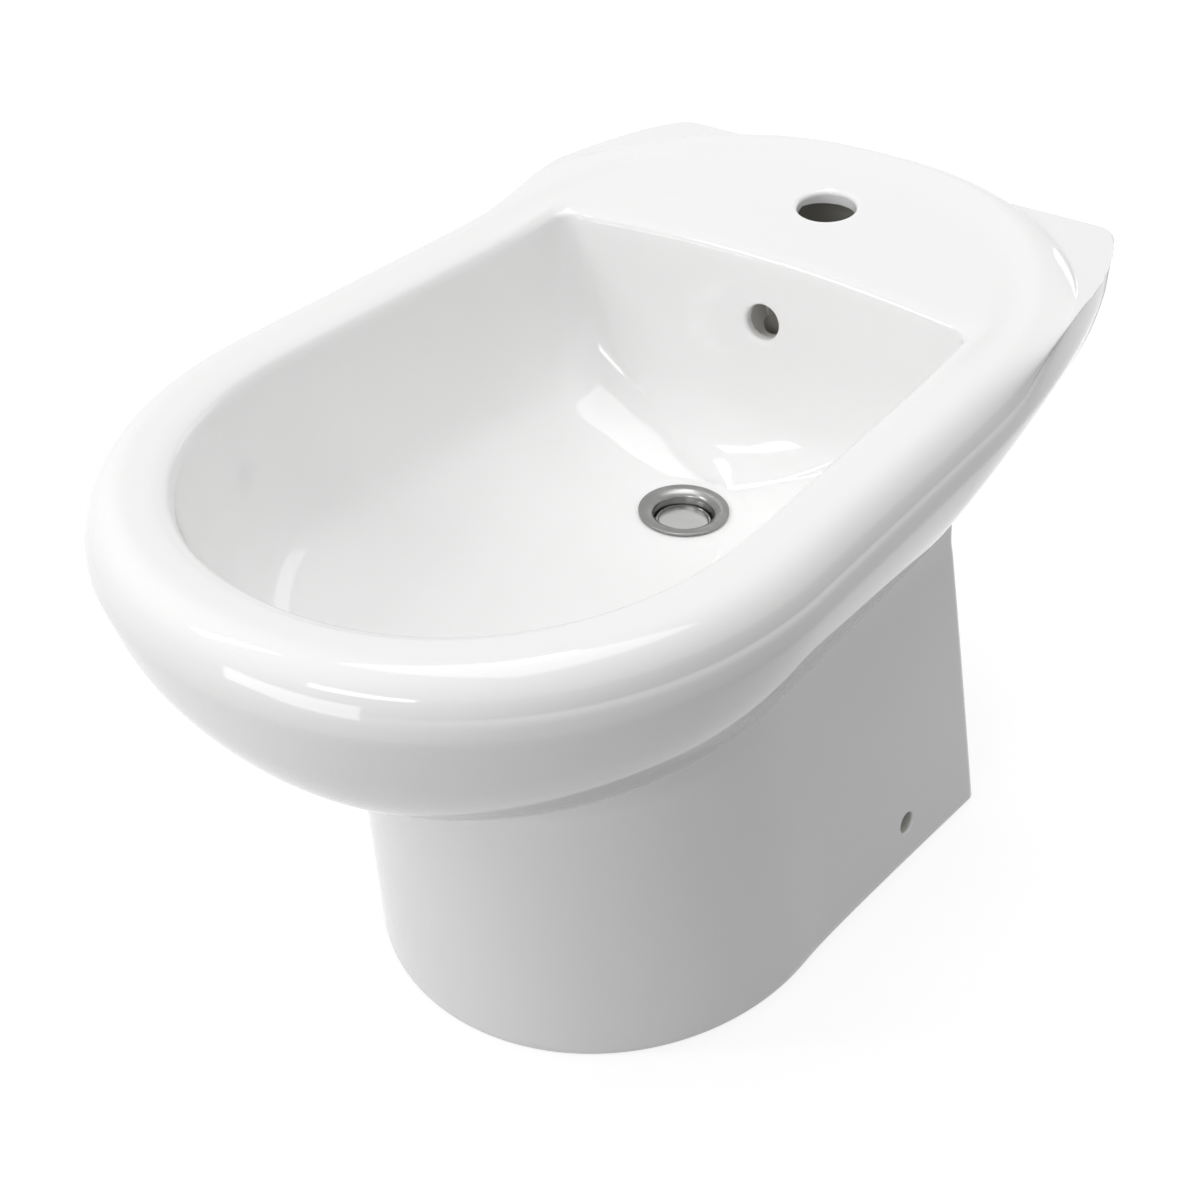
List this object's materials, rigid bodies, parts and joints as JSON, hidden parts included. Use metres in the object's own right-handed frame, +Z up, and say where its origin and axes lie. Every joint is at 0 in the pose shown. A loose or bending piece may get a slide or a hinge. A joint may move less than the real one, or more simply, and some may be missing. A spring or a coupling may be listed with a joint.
{
  "type": "bidet",
  "caption": "Floor standing glazed bidet with a rolled rim, a raised tap deck, an overflow, a push plug waste and a bottle trap hidden in its open back.",
  "frame": {"origin": "on the floor, under the middle of the body's bounding box", "axes": "+Y towards the wall the bidet stands against, -Y to the front of the rim, +X to the right seen from the front, +Z up"},
  "size_m": [0.366, 0.578, 0.392],
  "materials": {
    "china": "clear glossy glaze over white vitreous china",
    "waste_metal": "satin, lightly polished",
    "nut_brass": "cast and turned brass, dull",
    "plug_metal": "satin chrome",
    "spring_steel": "drawn stainless wire",
    "seal_rubber": "moulded black rubber",
    "sleeve_plastic": "moulded acetal",
    "trap_plastic": "moulded white polypropylene"
  },
  "bodies": {
    "body": {"ceramic_body": "china", "waste_body": "waste_metal", "flange_seal": "seal_rubber", "boss_seal": "seal_rubber", "slip_washer": "sleeve_plastic", "waste_nut": "nut_brass", "click_sleeve": "sleeve_plastic", "sleeve_lid": "sleeve_plastic", "click_spring": "spring_steel", "tail_nut": "trap_plastic", "tail_washer": "seal_rubber", "tail_pipe": "trap_plastic", "trap_body": "trap_plastic", "trap_inlet_nut": "trap_plastic", "trap_inlet_washer": "seal_rubber", "trap_cup": "trap_plastic", "cup_seal": "seal_rubber", "outlet_nut": "trap_plastic", "outlet_washer": "seal_rubber", "outlet_pipe": "trap_plastic"},
    "plug": {"plug_cap": "plug_metal", "plug_seal": "seal_rubber", "plug_stem": "plug_metal"}
  },
  "joints": [
    {"name": "plug_slide", "type": "slide", "parent": "body", "child": "plug", "axis": [0, 0, 1], "range_m": [0, 0.008], "deforming": ["click_spring"]}
  ]
}
